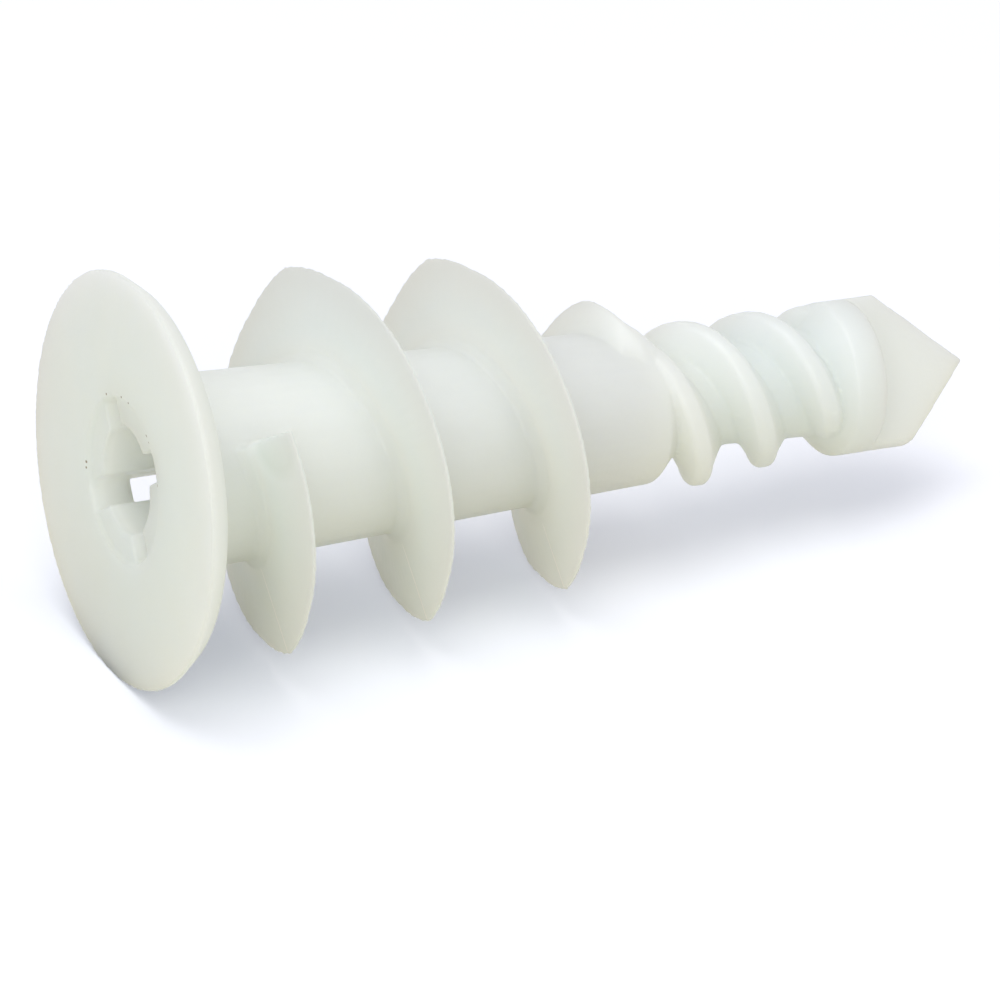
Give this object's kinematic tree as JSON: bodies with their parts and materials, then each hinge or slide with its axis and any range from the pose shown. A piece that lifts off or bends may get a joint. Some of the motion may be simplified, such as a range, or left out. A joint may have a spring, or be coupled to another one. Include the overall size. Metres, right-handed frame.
{
  "type": "plasterboard plug",
  "caption": "Self-drilling nylon plug with a cross drive in its flat head, a coarse thread that taps into the board, a spade drill tip and a bore for a screw.",
  "frame": {"origin": "in the middle of the head's flat face, which the plug stands on", "axes": "+Z is the plug's own axis, from the head up to the drill tip; +X is the side where the mould opened, so the parting lines run down the +Y and -Y sides"},
  "size_m": [0.0144, 0.0144, 0.0328],
  "materials": {
    "nylon": "satin, natural nylon"
  },
  "bodies": {
    "root": {"plug": "nylon"}
  },
  "joints": []
}
